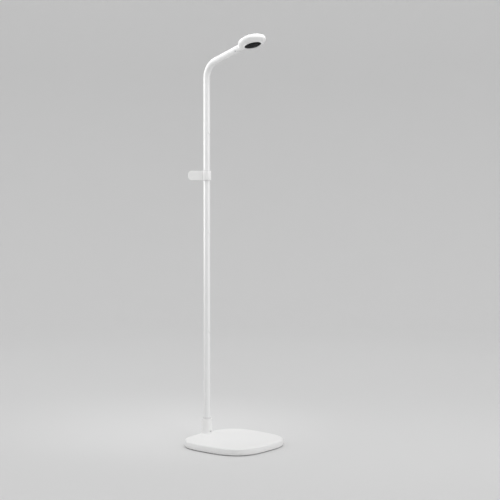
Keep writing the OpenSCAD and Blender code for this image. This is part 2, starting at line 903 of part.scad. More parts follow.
module head_screws() {
    point = sink_z - 7.5;
    color(steel) on_head() boss_places() {
        translate([0, 0, sink_z + sink_h]) cylinder(r = 2.4, h = 1.6);
        translate([0, 0, point]) cylinder(r = head_thread_r, h = sink_z + sink_h - point + eps);
    }
}

// ---- Clip ----

module clip_bush() {
    half = clip_h / 2 + run_gap;
    color([0.80, 0.80, 0.80]) on_pole(clip_z) rotate_extrude()
        polygon([
            [bush_ri, -half - bush_lip], [bush_r + 1, -half - bush_lip], [bush_r + 1, -half],
            [bush_r, -half], [bush_r, half], [bush_r + 1, half],
            [bush_r + 1, half + bush_lip], [bush_ri, half + bush_lip],
        ]);
}

module clip_collar() {
    soft = 0.8;                              // bevel on the collar's rims
    flat = clip_h / 2 - tip_r;
    color(white_plastic) on_pole(clip_z) rotate(tab_turn) difference() {
        union() {
            bevelled_tube(collar_r, collar_ri, -clip_h / 2, clip_h / 2, soft);
            translate([-tab_w / 2, 0, 0])
                rotate([90, 0, 90])
                    linear_extrude(tab_w)
                        hull() {
                            for (z = [-flat, flat])
                                translate([tab_reach - tip_r, z]) circle(tip_r);
                            translate([0, -clip_h / 2 + soft]) square([1, clip_h - 2 * soft]);
                        }
        }
        translate([0, 0, -clip_h]) cylinder(r = collar_ri, h = 2 * clip_h);
        translate([0, tab_reach - rivet_in, rivet_up]) for (side = [0, 1]) mirror([side, 0, 0])
            translate([tab_w / 2 - dimple_deep, 0, 0])
                rotate([0, 90, 0]) cylinder(r = dimple_r, h = 2);
        translate([-tab_w, tab_reach - rivet_in, rivet_up])
            rotate([0, 90, 0]) cylinder(r = rivet_r, h = 2 * tab_w);
    }
}

module clip_rivet() {
    color(white_plastic) on_pole(clip_z) rotate(tab_turn)
        translate([0, tab_reach - rivet_in, rivet_up]) rotate([0, 90, 0]) {
            cylinder(r = rivet_r, h = tab_w, center = true);
            for (side = [0, 1]) mirror([0, 0, side])
                translate([0, 0, tab_w / 2 - dimple_deep]) {
                    cylinder(r = rivet_head_r, h = 0.7);
                    translate([0, 0, 0.7 - eps])
                        cylinder(r1 = rivet_head_r, r2 = rivet_head_r - 1, h = 0.5);
                }
        }
}

base_cover();
base_pad();
bottom_plate();
ballast_plate();
base_screws();
pole_socket();
set_screw();
cord_gland();
inner_cable();
lower_tube();
middle_tube();
upper_tube();
bent_tube();
lower_spigot();
middle_spigot();
upper_spigot();
lower_button();
middle_button();
upper_button();
arm_button();
lower_spring();
middle_spring();
upper_spring();
arm_spring();
arm_tube();
arm_tongue();
tongue_screw();
tilt_washers();
tilt_pin();
head_fork();
head_crown();
head_belly();
window_trim();
window();
window_gasket();
lens_barrel();
lens();
emitter_board();
emitters();
heat_sink();
driver_board();
head_screws();
clip_bush();
clip_collar();
clip_rivet();
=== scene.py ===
# %% [markdown]
# # A floor lamp with a weighted base, a pole in sections and a tilting disc head
#
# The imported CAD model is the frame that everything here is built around. Each CAD
# node is either kept, with a better finish, or replaced by a piece with finer edges
# and more detail. Pieces are drawn in millimetres in a frame of their own, because a
# maker's drawing is, and are put in their place on the lamp in metres at the end.

# %% Load the frame
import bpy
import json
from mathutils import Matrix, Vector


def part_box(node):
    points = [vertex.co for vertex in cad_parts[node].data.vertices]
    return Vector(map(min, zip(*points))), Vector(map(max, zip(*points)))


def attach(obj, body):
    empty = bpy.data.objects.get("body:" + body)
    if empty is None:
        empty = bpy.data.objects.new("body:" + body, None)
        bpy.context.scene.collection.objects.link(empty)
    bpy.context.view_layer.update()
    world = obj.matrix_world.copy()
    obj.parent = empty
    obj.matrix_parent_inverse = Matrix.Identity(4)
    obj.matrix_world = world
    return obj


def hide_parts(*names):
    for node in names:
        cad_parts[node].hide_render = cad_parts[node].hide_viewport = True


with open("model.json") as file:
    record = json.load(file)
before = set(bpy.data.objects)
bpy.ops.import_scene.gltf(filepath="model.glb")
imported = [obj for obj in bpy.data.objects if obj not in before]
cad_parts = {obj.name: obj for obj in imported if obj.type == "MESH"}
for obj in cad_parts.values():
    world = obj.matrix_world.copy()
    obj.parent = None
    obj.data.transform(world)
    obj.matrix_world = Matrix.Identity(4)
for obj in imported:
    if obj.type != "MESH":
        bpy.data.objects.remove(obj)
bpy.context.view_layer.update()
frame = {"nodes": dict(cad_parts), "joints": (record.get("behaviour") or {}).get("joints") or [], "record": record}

# %% Names used throughout
import json
import math

import bmesh
import bpy
from mathutils import Matrix, Vector

MM = 0.001
TURN = 2 * math.pi
joints = {joint["name"]: joint for joint in frame["joints"]}


def in_mm(node):
    """A CAD node's lowest and highest corners, in millimetres."""
    low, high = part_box(node)
    return low / MM, high / MM


# %% [markdown]
# ## The camera
#
# The lamp is seen from its front left, from just above the middle of its height, with
# a long lens from almost four metres away. A long lens keeps the pole's sides nearly
# parallel. The camera isn't tipped sideways, so its bearing, a small turn and a small
# dip are all that it needs.

# %% Camera
BEARING = -0.8622                    # of the camera's place, seen from the middle of the base
DISTANCE = 3.7469
EYE_HEIGHT = 0.8277
TURN_ASIDE = -0.0155
DIP = 0.0246

camera_data = bpy.data.cameras.new("camera")
camera_data.lens = 72
camera_data.sensor_width = 36
camera = bpy.data.objects.new("camera", camera_data)
camera.location = (DISTANCE * math.sin(BEARING), -DISTANCE * math.cos(BEARING), EYE_HEIGHT)
camera.rotation_euler = (math.pi / 2 - DIP, 0, BEARING + TURN_ASIDE)
bpy.context.scene.collection.objects.link(camera)
bpy.context.scene.camera = camera
print("camera at", tuple(round(v, 3) for v in camera.location))

# %% [markdown]
# ## Where things are
#
# Three frames carry nearly every piece: one on the pole's axis, one whose z axis runs
# out along the rising arm, and one on the middle of the head. Their places come from
# the CAD nodes and joints, so they follow the design. The tilt joint gives the pin,
# and the release button's travel gives the direction that is "up" off the arm.

# %% Measures taken from the CAD model
tube_low, tube_high = in_mm("lower_tube")
POLE_Y = (tube_low.y + tube_high.y) / 2
TUBE_R = (tube_high.x - tube_low.x) / 2
SEAMS = [in_mm(name)[1].z for name in ("lower_tube", "middle_tube", "upper_tube")]
arm_up = Vector(joints["release_button_press"]["axis"]).normalized()
arm_out = Vector((0, -arm_up.z, arm_up.y))
pin = Vector(joints["head_tilt"]["pos_m"]) / MM
PIVOT_S = (POLE_Y - pin.y) / arm_up.z
CORNER_Z = pin.z - PIVOT_S * arm_up.y
HEAD_R = (in_mm("head_crown")[1].x - in_mm("head_crown")[0].x) / 2
HEAD_GAP = 12                        # from the tilt pin to the rim of the head
HEAD_S = PIVOT_S + HEAD_R + HEAD_GAP
CLIP_Z = joints["clip_turn"]["pos_m"][2] / MM
print(f"seams {[round(z) for z in SEAMS]} mm, arm's corner {CORNER_Z:.0f} mm, head radius {HEAD_R:.1f} mm")

# %% Frames
def frame_of(origin, x, y, z):
    """The matrix of a frame with these axes, from millimetres to millimetres."""
    m = Matrix.Identity(4)
    for column, axis in enumerate((x, y, z, origin)):
        for row in range(3):
            m[row][column] = axis[row]
    return m


SIDE = Vector((1, 0, 0))


def on_pole(z=0):
    return Matrix.Translation((0, POLE_Y, z))


def on_arm(s=0):
    """z runs out along the arm from its corner, and -y is its underside."""
    return frame_of(Vector((0, POLE_Y, CORNER_Z)) + arm_out * s, SIDE, arm_up, arm_out)


on_head = frame_of(Vector((0, POLE_Y, CORNER_Z)) + arm_out * HEAD_S, SIDE, -arm_out, arm_up)
TO_FRONT = Matrix.Rotation(math.pi / 2, 4, "X")      # turns z to the front, -y
ACROSS = Matrix.Rotation(math.pi / 2, 4, "Y")        # turns z to the right, +x

# %% [markdown]
# ## Writing node trees as expressions
#
# A material or a Geometry Nodes tree is a web of small nodes, and building it one
# link at a time is hard to read. `Wire` holds one socket and knows the arithmetic
# signs, so `1 - mask * 0.4` adds the two Math nodes that it needs. Any other node
# comes from `Wire.node`, which sets the node's own settings first, because they decide
# which sockets it has.

# %% The wire
class Wire:
    """A socket in a node tree that can stand in ordinary arithmetic."""

    def __init__(self, tree, socket=None):
        self.tree, self.socket = tree, socket

    def node(self, kind, settings=None, sockets=None, out=0):
        made = self.tree.nodes.new(kind)
        for key, value in (settings or {}).items():
            setattr(made, key, value)
        for key, value in (sockets or {}).items():
            self.plug(made.inputs[key], value)
        return Wire(self.tree, made.outputs[out])

    def plug(self, socket, value):
        if isinstance(value, Wire):
            self.tree.links.new(value.socket, socket)
        else:
            socket.default_value = value

    def math(self, operation, *values):
        return self.node("ShaderNodeMath", {"operation": operation}, dict(enumerate(values)))

    def __add__(self, other):
        return self.math("ADD", self, other)

    def __radd__(self, other):
        return self.math("ADD", other, self)

    def __sub__(self, other):
        return self.math("SUBTRACT", self, other)

    def __rsub__(self, other):
        return self.math("SUBTRACT", other, self)

    def __mul__(self, other):
        return self.math("MULTIPLY", self, other)

    def __truediv__(self, other):
        return self.math("DIVIDE", self, other)


print("wires ready")

# %% [markdown]
# ## Finishes
#
# Nearly everything on this lamp is white, so the finishes differ in their surface and
# not in their colour. Moulded plastic copies the fine spark-eroded skin of its mould.
# Powder coat flows as it is baked and sets in a soft orange peel. Both are a fine
# noise in the Bump node, with a second, slower noise that varies the roughness as
# handling does. All patterns read Object coordinates in metres, so a scale of 900
# gives a grain of about a millimetre.

# %% A base for all the finishes
for imported in list(bpy.data.materials):
    bpy.data.materials.remove(imported)


def finish(name, colour, roughness, grain=900, depth=0.00002, drift=0.04, mottle=0.02, cloud=14, **fixed):
    """A Principled material with a fine grain, a slow drift in gloss and a slight mottle in colour."""
    material = bpy.data.materials.new(name)
    material.use_nodes = True
    tree = material.node_tree
    shader = tree.nodes["Principled BSDF"]
    for key, value in fixed.items():
        shader.inputs[key.replace("_", " ")].default_value = value
    start = Wire(tree)
    place = start.node("ShaderNodeTexCoord", out="Object")
    fine = start.node("ShaderNodeTexNoise", {}, {"Vector": place, "Scale": grain, "Detail": 3.0})
    slow = start.node("ShaderNodeTexNoise", {}, {"Vector": place, "Scale": cloud, "Detail": 2.0})
    darker = tuple(channel * (1 - mottle) for channel in colour)
    tone = start.node("ShaderNodeMix", {"data_type": "RGBA"},
                      {"Factor": slow, 6: (*colour, 1), 7: (*darker, 1)}, out=2)
    gloss = roughness + (slow - 0.5) * (2 * drift) + (fine - 0.5) * drift
    relief = start.node("ShaderNodeBump", {}, {"Height": fine, "Distance": depth, "Strength": 1.0})
    start.plug(shader.inputs["Base Color"], tone)
    start.plug(shader.inputs["Roughness"], gloss)
    start.plug(shader.inputs["Normal"], relief)
    return material


# %% White finishes
cover_plastic = finish("cover_plastic", (0.90, 0.90, 0.895), 0.42, grain=1100, depth=0.00003, drift=0.05,
                       Specular_IOR_Level=0.5)
white_paint = finish("white_paint", (0.88, 0.88, 0.88), 0.33, grain=620, depth=0.00003, drift=0.04,
                     cloud=9, Coat_Weight=0.25, Coat_Roughness=0.18)
button_plastic = finish("button_plastic", (0.90, 0.90, 0.895), 0.30, grain=1500, depth=0.00001, drift=0.03)
liner_plastic = finish("liner_plastic", (0.60, 0.60, 0.60), 0.50, grain=1300, depth=0.00002)
print("white finishes:", cover_plastic.name, white_paint.name, button_plastic.name, liner_plastic.name)

# %% [markdown]
# The dark finishes hide inside or underneath, except for the window. That is a smoked
# plate: it reflects very little and lets about a tenth of the light through, so the
# ring of the lens and the small emitters behind it only just show. A partly
# see-through Principled shader does this, and a clear coat isn't needed because the
# plate itself is polished.

# %% Dark finishes, metals and glass
plate_plastic = finish("plate_plastic", (0.035, 0.035, 0.038), 0.55, grain=1000, depth=0.00005,
                       mottle=0.1)
black_plastic = finish("black_plastic", (0.015, 0.015, 0.017), 0.42, grain=1400, depth=0.00002,
                       mottle=0.1)
pad_rubber = finish("pad_rubber", (0.045, 0.045, 0.048), 0.85, grain=1600, depth=0.00008, mottle=0.25)
cable_jacket = finish("cable_jacket", (0.03, 0.03, 0.03), 0.6, grain=1200, depth=0.00003, mottle=0.15)
steel = finish("steel", (0.56, 0.57, 0.59), 0.34, grain=1800, depth=0.00001, drift=0.08, mottle=0.12,
               Metallic=1.0)
ballast_steel = finish("ballast_steel", (0.09, 0.09, 0.10), 0.62, grain=500, depth=0.0001, mottle=0.3,
                       Metallic=0.3)
aluminium = finish("aluminium", (0.72, 0.73, 0.74), 0.38, grain=1500, depth=0.00001, mottle=0.06,
                   Metallic=1.0)
circuit_board = finish("circuit_board", (0.012, 0.035, 0.025), 0.4, grain=700, depth=0.00002, mottle=0.4,
                       cloud=120)
emitter = finish("emitter", (0.80, 0.76, 0.55), 0.35, grain=1200, depth=0.00001, mottle=0.1, cloud=400)
smoked_window = finish("smoked_window", (0.006, 0.006, 0.007), 0.06, grain=1500, depth=0.000001, drift=0.01,
                       mottle=0.2, Alpha=0.90, Specular_IOR_Level=0.02)
lens_glass = finish("lens_glass", (0.10, 0.12, 0.20), 0.05, grain=1500, depth=0.000001, drift=0.01,
                    mottle=0.3, cloud=150, Coat_Weight=0.8, Coat_Roughness=0.03)
finishes = {m.name: m for m in (cover_plastic, white_paint, button_plastic, liner_plastic, plate_plastic,
                                black_plastic, pad_rubber, cable_jacket, steel, ballast_steel, aluminium,
                                circuit_board, emitter, smoked_window, lens_glass)}
print(len(finishes), "finishes")

# %% [markdown]
# ## Making and placing a piece
#
# A turned part is a closed outline spun about z. The sharp corners of the outline are
# rounded first, as a tool or a mould would leave them, because a true sharp edge
# catches no light and looks false. `carve` cuts one closed shape by another and keeps
# the result as a plain mesh.

# %% Outlines
def rounded(points, radii, steps=4):
    """A closed outline with its corners rounded. radii is one radius, or one for each point."""
    count = len(points)
    if not isinstance(radii, (list, tuple)):
        radii = [radii] * count
    out = []
    for i, corner in enumerate(points):
        p, a, b = Vector(corner), Vector(points[i - 1]), Vector(points[(i + 1) % count])
        to_a, to_b = a - p, b - p
        if radii[i] <= 0 or corner[0] < 1e-6:
            out.append(tuple(p))
            continue
        angle = to_a.angle(to_b)
        reach = min(radii[i] / math.tan(angle / 2), to_a.length * 0.49, to_b.length * 0.49)
        start, end = p + to_a.normalized() * reach, p + to_b.normalized() * reach
        for k in range(steps + 1):
            t = k / steps
            out.append(tuple(start * (1 - t) ** 2 + p * (2 * t * (1 - t)) + end * t ** 2))
    return out


# %% Solids
def solid(name, points, faces):
    mesh = bpy.data.meshes.new(name)
    mesh.from_pydata([tuple(p) for p in points], [], faces)
    piece = bpy.data.objects.new(name, mesh)
    bpy.context.scene.collection.objects.link(piece)
    outward(piece)
    return piece


def outward(piece, merge=1e-5):
    work = bmesh.new()
    work.from_mesh(piece.data)
    bmesh.ops.remove_doubles(work, verts=work.verts, dist=merge)
    bmesh.ops.recalc_face_normals(work, faces=work.faces)
    work.to_mesh(piece.data)
    work.free()


def turned(name, outline, around=96):
    """Spins a closed outline of (radius, height) about z. A point on the axis becomes a pole."""
    points, rows, faces = [], [], []
    for r, z in outline:
        count = 1 if r < 1e-6 else around
        rows.append(range(len(points), len(points) + count))
        points += [(r * math.cos(TURN * k / around), r * math.sin(TURN * k / around), z)
                   for k in range(count)]
    for a, b in zip(rows, rows[1:] + rows[:1]):
        if len(a) == len(b) == 1:
            continue
        for k in range(around):
            n = (k + 1) % around
            quad = [a[k % len(a)], a[n % len(a)], b[n % len(b)], b[k % len(b)]]
            faces.append(list(dict.fromkeys(quad)))
    return solid(name, points, faces)


def slab(name, outline, z0, z1):
    """A flat plate with this outline of (x, y)."""
    n = len(outline)
    points = [(x, y, z) for z in (z0, z1) for x, y in outline]
    sides = [[k, (k + 1) % n, n + (k + 1) % n, n + k] for k in range(n)]
    return solid(name, points, [list(range(n))[::-1], list(range(n, 2 * n)), *sides])


def rod(r, z0, z1, around=64, where=Matrix.Identity(4)):
    made = turned("cutter", [(0, z0), (r, z0), (r, z1), (0, z1)], around)
    made.data.transform(where)
    return made


# %% Working on a piece
def settle(piece):
    """Replaces a piece's mesh by what its modifiers make of it."""
    graph = bpy.context.evaluated_depsgraph_get()
    made = bpy.data.meshes.new_from_object(piece.evaluated_get(graph), depsgraph=graph)
    piece.modifiers.clear()
    piece.data = made
    made.name = piece.name
    return piece


def carve(piece, *cutters, how="DIFFERENCE"):
    for cutter in cutters:
        cut = piece.modifiers.new("cut", "BOOLEAN")
        cut.operation, cut.solver, cut.object = how, "EXACT", cutter
        settle(piece)
        bpy.data.objects.remove(cutter)
    return piece


def soften(piece, width, steps=3, angle=35):
    bevel = piece.modifiers.new("soften", "BEVEL")
    bevel.width, bevel.segments, bevel.limit_method = width, steps, "ANGLE"
    bevel.angle_limit = math.radians(angle)
    return settle(piece)


BEVELLED = 12        # degrees: keeps an edge's strips from bending the shading of the faces beside it


def place(piece, where, body, nodes, material, sharp=32):
    """Puts a finished piece on the lamp, from millimetres to metres, and hands it to its body."""
    piece.data.transform(Matrix.Scale(MM, 4) @ where)
    piece.data.materials.clear()
    piece.data.materials.append(material)
    piece.data.polygons.foreach_set("use_smooth", [True] * len(piece.data.polygons))
    piece.data.set_sharp_from_angle(angle=math.radians(sharp))
    piece.data.update()
    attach(piece, body)
    if nodes:
        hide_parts(*nodes)
    print(f"{piece.name}: {len(piece.data.polygons)} faces on {body}")
    return piece


# %% [markdown]
# ## The base cover
#
# The cover is one moulding: a rounded square, a little wider at the back, with a neck
# that takes the foot of the pole. The neck stands so near the back edge that its
# fillet runs into the rounded rim there. A loft handles that well: each section starts
# in the neck's bore, climbs over its rim, flows down the fillet, crosses the top to
# the rim, drops down the side and returns under the ceiling. The sections are spread
# by both their distance along the outline and their angle at the pole.

# %% The base's sizes
base_low, base_high = in_mm("base_cover")
NECK_TOP, COVER_FOOT = base_high.z, base_low.z
HALF_D = base_high.y
SQUARENESS, TAPER = 3.1, 0.035
HALF_W = 164
BASE_TOP, EDGE_R, WALL, RIM_DRAW = 26, 6, 3, 1.2
SOCKET_ROOM = 3.55                   # for the steel socket, between the pole and the neck
NECK_BORE = TUBE_R + SOCKET_ROOM
NECK_WALL, NECK_SPREAD, FILLET = 3.2, 0.8, 8
NECK_RIM_R, NECK_FOOT_R = NECK_BORE + NECK_WALL, NECK_BORE + NECK_WALL + NECK_SPREAD
BORE_ROUND, RIM_ROUND = 0.8, 1.5     # the neck's mouth, inside and outside


def outline(turn, inset=0):
    """A point on the base's outline, drawn in by inset, and in millimetres."""
    c, s = math.cos(turn), math.sin(turn)
    x = (HALF_W - inset) * math.copysign(abs(c) ** (2 / SQUARENESS), c)
    y = (HALF_D - inset) * math.copysign(abs(s) ** (2 / SQUARENESS), s)
    return Vector((x * (1 + TAPER * y / HALF_D), y))


def evenly(samples, cost, count):
    """Picks count of the samples so that the cost from one to the next is about even."""
    total, run = 0, [0]
    for a, b in zip(samples, samples[1:] + samples[:1]):
        total += cost(a, b)
        run.append(total)
    picked, i = [], 0
    for k in range(count):
        while run[i + 1] < total * k / count:
            i += 1
        picked.append(samples[i])
    return picked


# %% The cover's sections
foot_of_pole = Vector((0, POLE_Y))
SAMPLES, SECTIONS = 9000, 480
STEP_ALONG, STEP_ROUND = 3.6, math.radians(2.2)      # millimetres on the outline, angle at the pole
MID_BORE, MID_SIDE = 54, 13                          # heights of a row of points half-way
NEAR_SHARE = 0.7                                     # of the little room behind the neck


def turning(a, b):
    """The share of a section's room that one step along the outline takes."""
    pa, pb = outline(a), outline(b)
    return (pb - pa).length / STEP_ALONG + (pa - foot_of_pole).angle(pb - foot_of_pole) / STEP_ROUND


turns = evenly([TURN * k / SAMPLES for k in range(SAMPLES)], turning, SECTIONS)


def fillet_height(r):
    """The top surface's height at a distance from the pole's axis."""
    inward = max(0, NECK_FOOT_R + FILLET - r)
    return BASE_TOP + FILLET - math.sqrt(max(0, FILLET ** 2 - inward ** 2))


def section(turn):
    """One closed section of the cover, from the bore outwards and back under the ceiling."""
    edge = outline(turn)
    ahead = outline(turn + 0.001) - outline(turn - 0.001)
    inward = Vector((-ahead.y, ahead.x)).normalized()
    room = (edge - foot_of_pole).length - NECK_FOOT_R
    width = min(EDGE_R, NEAR_SHARE * room)
    shoulder = edge + inward * width
    way = (shoulder - foot_of_pole).normalized()
    reach = (shoulder - foot_of_pole).length - NECK_FOOT_R

    def at(r, z):
        return (*(foot_of_pole + way * r), z)

    points = [at(NECK_BORE, BASE_TOP - WALL), at(NECK_BORE, MID_BORE), at(NECK_BORE, NECK_TOP - BORE_ROUND)]
    for k in range(1, 4):
        a = TURN / 4 * k / 3
        points.append(at(NECK_BORE + BORE_ROUND * (1 - math.cos(a)),
                         NECK_TOP - BORE_ROUND * (1 - math.sin(a))))
    under_rim = NECK_TOP - RIM_ROUND
    for k in range(5):
        a = TURN / 4 * k / 4
        points.append(at(NECK_RIM_R - RIM_ROUND + RIM_ROUND * math.sin(a),
                         under_rim + RIM_ROUND * math.cos(a)))
    for k in range(1, 6):
        t = k / 6
        points.append(at(NECK_RIM_R + (NECK_FOOT_R - NECK_RIM_R) * t,
                         under_rim + (BASE_TOP + FILLET - under_rim) * t))
    spread = min(FILLET, 0.9 * reach)
    for k in range(9):
        r = NECK_FOOT_R + spread * (1 - math.cos(TURN / 4 * k / 8))
        points.append(at(r, fillet_height(r)))
    for k in range(1, 8):
        t = (k / 8) ** 0.8
        r = NECK_FOOT_R + spread + (reach - spread) * t
        points.append(at(r, fillet_height(r)))
    top = fillet_height(NECK_FOOT_R + reach)
    for k in range(9):
        a = TURN / 4 * k / 8
        p = edge + inward * (width * (1 - math.sin(a)))
        points.append((*p, BASE_TOP - EDGE_R + (top - BASE_TOP + EDGE_R) * math.cos(a)))
    points += [(*edge, MID_SIDE), (*edge, COVER_FOOT + RIM_DRAW), (*(edge + inward * 0.5), COVER_FOOT + 0.3),
               (*(edge + inward * RIM_DRAW), COVER_FOOT)]
    inset = min(WALL, NEAR_SHARE * room + 1)
    points += [(*(edge + inward * inset), COVER_FOOT), (*(edge + inward * inset), BASE_TOP - EDGE_R - 2)]
    ceiling = edge + inward * min(EDGE_R + 1, NEAR_SHARE * room + 1.5)
    out = (ceiling - foot_of_pole).length
    points.append((*ceiling, BASE_TOP - WALL))
    for k in range(1, 4):
        points.append(at(out + (NECK_BORE - out) * k / 4, BASE_TOP - WALL))
    return points


# %% Base cover
sections = [section(turn) for turn in turns]
height = len(sections[0])
loft_points = [p for row in sections for p in row]
loft_faces = [[i * height + k, i * height + (k + 1) % height,
               (i + 1) % len(sections) * height + (k + 1) % height, (i + 1) % len(sections) * height + k]
              for i in range(len(sections)) for k in range(height)]
cover = solid("lamp_base_cover", loft_points, loft_faces)
SET_SCREW_Z = (in_mm("set_screw")[0].z + in_mm("set_screw")[1].z) / 2
SET_SCREW_WAY_R, GLAND_R, GLAND_GAP = 3.2, 4, 0.05
screw_way = rod(SET_SCREW_WAY_R, NECK_BORE - 2, NECK_FOOT_R + 9, 32, on_pole(SET_SCREW_Z) @ TO_FRONT)
gland_low, gland_high = in_mm("cord_gland")
GLAND_X, GLAND_Z = (gland_low.x + gland_high.x) / 2, (gland_low.z + gland_high.z) / 2
gland_at = Matrix.Translation((GLAND_X, gland_high.y, GLAND_Z)) @ TO_FRONT
gland_way = rod(GLAND_R + GLAND_GAP, -12, 12, 40, gland_at)
carve(cover, screw_way, gland_way)
place(cover, Matrix.Identity(4), "stand", ["base_cover"], cover_plastic, sharp=40)

# %% [markdown]
# ## The pad under the base
#
# A rubber pad set in from the edge lifts the cover off the floor, and is seen from the
# side only as a fine dark line of shadow. Its underside has small round studs that
# grip. Studs repeat on a grid, which is a job for Geometry Nodes: a grid of points, of
# which those outside the pad's outline are deleted, each carrying a stud.

# %% The pad's plate
PAD_TOP = in_mm("base_pad")[1].z
PAD_INSET, PAD_CORNERS, STUD_H = 8, 240, 0.7
pad_outline = [tuple(outline(TURN * k / PAD_CORNERS, PAD_INSET)) for k in range(PAD_CORNERS)]
pad = slab("base_grip_pad", pad_outline, STUD_H, PAD_TOP)
soften(pad, 0.25, 2)
place(pad, Matrix.Identity(4), "stand", ["base_pad"], pad_rubber, sharp=BEVELLED)


# %% A tree of Geometry Nodes
def grow(name, inputs, build, material):
    """Runs a Geometry Nodes tree with named float inputs, and returns what it makes as a plain mesh."""
    tree = bpy.data.node_groups.new(name, "GeometryNodeTree")
    tree.interface.new_socket("Geometry", in_out="OUTPUT", socket_type="NodeSocketGeometry")
    for label in inputs:
        tree.interface.new_socket(label, in_out="INPUT", socket_type="NodeSocketFloat")
    entry = tree.nodes.new("NodeGroupInput")
    given = {label: Wire(tree, entry.outputs[label]) for label in inputs}
    start = Wire(tree)
    shape = build(start, given)
    whole = start.node("GeometryNodeRealizeInstances", {}, {"Geometry": shape})
    dressed = start.node("GeometryNodeSetMaterial", {}, {"Geometry": whole, "Material": material})
    tree.links.new(dressed.socket, tree.nodes.new("NodeGroupOutput").inputs["Geometry"])
    piece = bpy.data.objects.new(name, bpy.data.meshes.new(name))
    modifier = piece.modifiers.new("grow", "NODES")
    modifier.node_group = tree
    for item in tree.interface.items_tree:
        if item.in_out == "INPUT":
            modifier[item.identifier] = float(inputs[item.name])
    bpy.context.scene.collection.objects.link(piece)
    settle(piece)
    outward(piece, 1e-4)
    return piece


# %% Grip studs
def stud_grid(start, given):
    half, pitch, radius, high = (given[k] for k in ("Half", "Pitch", "Radius", "Height"))
    count = start.math("FLOOR", half * 2 / pitch) + 1
    side = (count - 1) * pitch
    grid = start.node("GeometryNodeMeshGrid", {}, {"Size X": side, "Size Y": side,
                                                   "Vertices X": count, "Vertices Y": count})
    place_of = start.node("GeometryNodeInputPosition")
    xyz = start.node("ShaderNodeSeparateXYZ", {}, {0: place_of})
    y = Wire(start.tree, xyz.socket.node.outputs["Y"])
    x = xyz / (1 + y * (TAPER / HALF_D))
    size = given["Outline"]
    reach = [start.math("POWER", start.math("ABSOLUTE", way / size), SQUARENESS) for way in (x, y)]
    outside = start.node("FunctionNodeCompare", {"operation": "GREATER_THAN"},
                         {0: reach[0] + reach[1], 1: 1.0})
    kept = start.node("GeometryNodeDeleteGeometry", {"domain": "POINT"},
                      {"Geometry": grid, "Selection": outside})
    stud = start.node("GeometryNodeMeshCylinder", {}, {"Vertices": 14, "Radius": radius, "Depth": high})
    lifted = start.node("GeometryNodeTransform", {}, {"Geometry": stud, "Translation": start.node(
        "ShaderNodeCombineXYZ", {}, {"Z": high / 2})})
    return start.node("GeometryNodeInstanceOnPoints", {}, {"Points": kept, "Instance": lifted})


studs = grow("base_grip_studs", {"Half": 150, "Pitch": 17, "Radius": 3, "Height": STUD_H, "Outline": 146},
             stud_grid, pad_rubber)
place(studs, Matrix.Identity(4), "stand", [], pad_rubber)

# %% [markdown]
# ## The tubes
#
# The pole is three straight tubes and a bent one, with a short straight tube on the
# arm. All five are the same thing: a round wall that follows a path which goes
# straight, turns through an angle and goes straight again. One Geometry Nodes tree
# makes them from their sizes. It rolls a flat grid up: one way round the tube, and
# the other way out along its outside, over its end and back along its inside. The
# bevels at the ends are what makes a seam show as a fine line.

# %% The tube tree
AROUND = 128
TUBE_WALL, BEND_R = 1.5, 64.0


def rolled_tube(start, given):
    radius, bore, bevel, length = (given[k] for k in ("Radius", "Bore", "Bevel", "Length"))
    straight, bend, turn, rings = (given[k] for k in ("Straight", "Bend radius", "Turn", "Rings"))
    grid = start.node("GeometryNodeMeshGrid", {}, {"Size X": 1.0, "Size Y": 1.0, "Vertices X": AROUND + 1,
                                                   "Vertices Y": rings * 2 + 3})
    xyz = start.node("ShaderNodeSeparateXYZ", {}, {0: start.node("GeometryNodeInputPosition")})
    y = Wire(start.tree, xyz.socket.node.outputs["Y"])
    angle = (xyz + 0.5) * TURN
    step = start.math("ROUND", (y + 0.5) * (rings * 2 + 2))
    step = start.math("MODULO", step, rings * 2 + 2)                 # the last row lies on the first
    is_out = start.math("LESS_THAN", step, rings + 0.5)
    j = is_out * step + (1 - is_out) * (rings * 2 + 1 - step)
    at_end = start.math("GREATER_THAN", j, rings - 0.5)
    at_start = start.math("LESS_THAN", j, 0.5)
    share = start.node("ShaderNodeClamp", {}, {0: (j - 1) / (rings - 2)})
    along = share * (length - bevel * 2) + bevel * (1 - at_start) + bevel * at_end
    r = is_out * (radius - bevel * start.math("MAXIMUM", at_start, at_end)) + (1 - is_out) * bore
    first = start.math("MINIMUM", along, straight)
    arc = start.math("MINIMUM", start.math("MAXIMUM", along - straight, 0.0), bend * turn)
    rest = start.math("MAXIMUM", along - straight - bend * turn, 0.0)
    lean = arc / bend
    cos, sin = start.math("COSINE", lean), start.math("SINE", lean)
    side, front = r * start.math("COSINE", angle), r * start.math("SINE", angle)
    y_out = bend * (cos - 1) - rest * sin + front * cos
    z_out = first + bend * sin + rest * cos + front * sin
    spot = start.node("ShaderNodeCombineXYZ", {}, {"X": side, "Y": y_out, "Z": z_out})
    return start.node("GeometryNodeSetPosition", {}, {"Geometry": grid, "Position": spot})


def tube(name, length, radius=TUBE_R, bore=TUBE_R - TUBE_WALL, straight=None, turn=0.0, rings=8):
    return grow(name, {"Radius": radius, "Bore": bore, "Bevel": 0.5, "Length": length,
                       "Straight": length if straight is None else straight, "Bend radius": BEND_R,
                       "Turn": turn, "Rings": rings}, rolled_tube, white_paint)


# %% The straight tubes of the pole
BUTTON_DROP, HOLE_R = 22, 4.4
CUT_R = TUBE_R + 3                   # a hole's cutter ends outside the tube


def button_hole(where):
    return rod(HOLE_R, 0, CUT_R, 40, where @ TO_FRONT)


for node in ("lower_tube", "middle_tube", "upper_tube"):
    low, high = in_mm(node)
    piece = tube(node.replace("tube", "pole_tube"), high.z - low.z)
    carve(piece, button_hole(Matrix.Translation((0, 0, high.z - low.z - BUTTON_DROP))))
    place(piece, on_pole(low.z), "stand", [node], white_paint)

